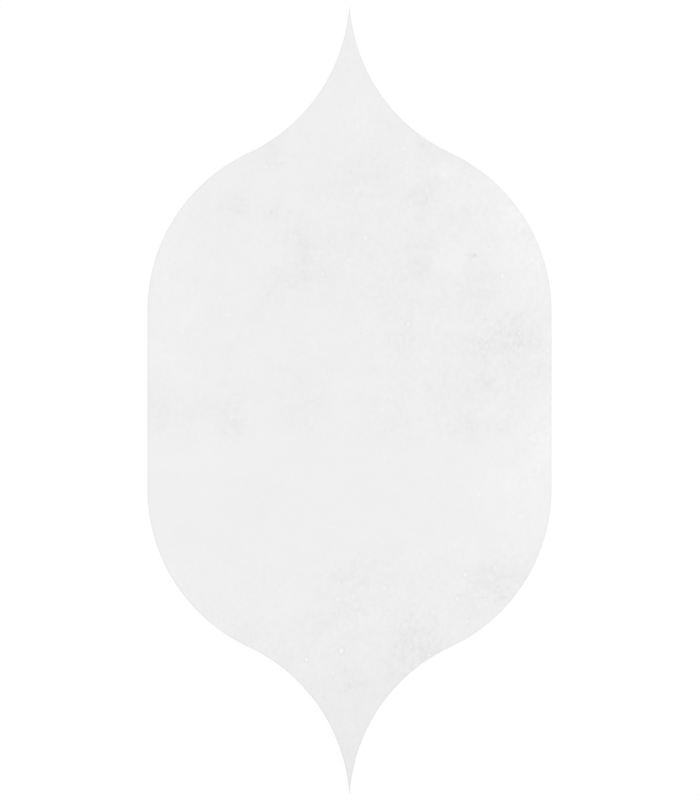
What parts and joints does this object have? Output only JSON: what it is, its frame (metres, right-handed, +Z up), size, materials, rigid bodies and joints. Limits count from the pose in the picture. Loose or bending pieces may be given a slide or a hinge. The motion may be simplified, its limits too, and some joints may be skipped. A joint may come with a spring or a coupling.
{
  "type": "moroccan arabesque tile",
  "caption": "Flat ceramic tile pointed at both ends: straight sides, round shoulders and hollow necks that nest with its neighbours, white satin glaze on the face and a ribbed back.",
  "frame": {"origin": "centre of the back, on the plane that the tile lies on", "axes": "+X across the tile to a flat side, +Y along it to one point, +Z up through the glazed face"},
  "size_m": [0.124, 0.2424, 0.0095],
  "materials": {
    "white_glaze": "satin white glaze on the face and its edge, bare pale fired body on the lower walls and the back"
  },
  "bodies": {
    "root": {"arabesque_tile": "white_glaze"}
  },
  "joints": []
}
